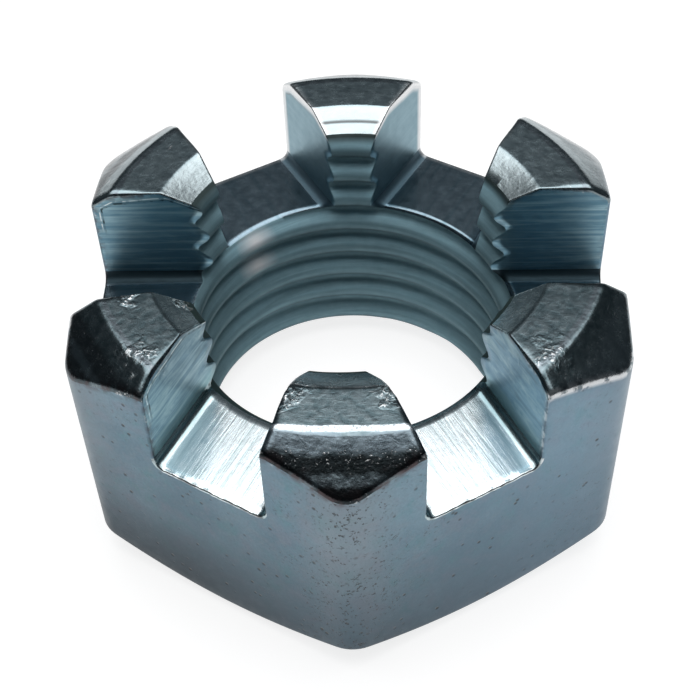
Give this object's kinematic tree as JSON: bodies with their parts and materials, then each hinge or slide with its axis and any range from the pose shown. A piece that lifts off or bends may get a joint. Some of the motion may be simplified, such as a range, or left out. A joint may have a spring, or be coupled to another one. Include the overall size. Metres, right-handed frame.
{
  "type": "castle nut",
  "caption": "Slotted hexagon castle nut with a fine internal thread, chamfered ends, and slots across the flats for a cotter pin that locks it to a drilled bolt.",
  "frame": {"origin": "centre of the bearing face, on the thread's axis", "axes": "+Z along the thread from the bearing face to the slotted crown; two opposite flats, each with a slot, face +X and -X; two corners of the hexagon point to +Y and -Y"},
  "size_m": [0.019, 0.0216, 0.0111],
  "materials": {
    "zinc_plated_steel": "bright zinc plating with a clear blue passivate, on machined steel"
  },
  "bodies": {
    "root": {"castle_nut": "zinc_plated_steel"}
  },
  "joints": []
}
